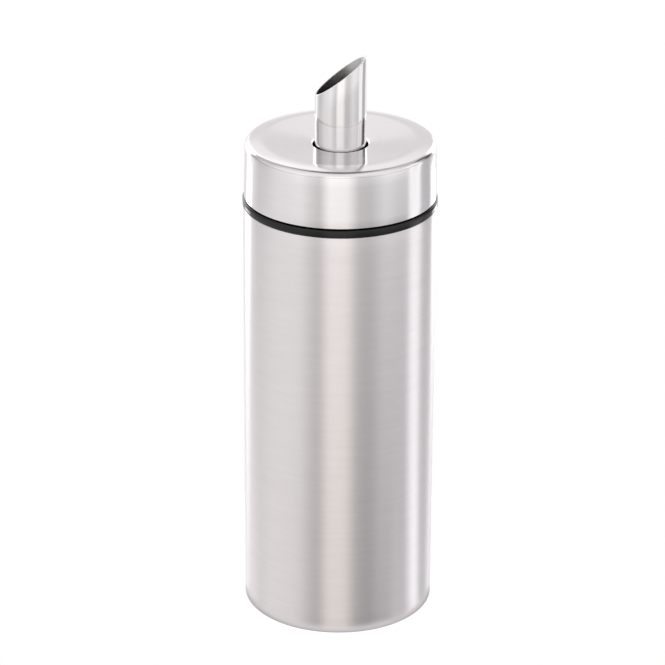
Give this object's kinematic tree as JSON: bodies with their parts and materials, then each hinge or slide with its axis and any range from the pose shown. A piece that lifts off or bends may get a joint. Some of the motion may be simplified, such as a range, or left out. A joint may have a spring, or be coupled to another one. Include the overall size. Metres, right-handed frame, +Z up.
{
  "type": "sugar jar",
  "caption": "Tall brushed steel sugar jar with a black neck ring, a push-fit lid and a slanted pour tube that doses the sugar.",
  "frame": {"origin": "centre of the ring face that the jar stands on", "axes": "+Z up along the jar's axis, +X the way the tube's tall tip points"},
  "size_m": [0.0604, 0.0604, 0.1827],
  "materials": {
    "brushed_steel": "fine brushing round the axis",
    "polished_steel": "polished stainless steel",
    "spring_steel": "bright spring steel",
    "black_gloss": "gloss black",
    "black_matt": "fine matt black",
    "silicone": "soft translucent white"
  },
  "bodies": {
    "jar": {"body_shell": "brushed_steel", "base_plate": "brushed_steel", "neck_collar": "black_gloss"},
    "seal": {"sealing_ring": "silicone"},
    "lid": {"lid_cap": "brushed_steel", "lid_insert": "black_matt", "tube_bush": "black_matt", "star_washer": "spring_steel", "pour_tube": "polished_steel"}
  },
  "joints": [
    {"name": "lid_lift", "type": "slide", "parent": "jar", "child": "seal", "axis": [0, 0, 1], "range_m": [0, 0.14]},
    {"name": "lid_turn", "type": "hinge", "parent": "seal", "child": "lid", "pos_m": [0, 0, 0.1324], "axis": [0, 0, 1], "continuous": true}
  ]
}
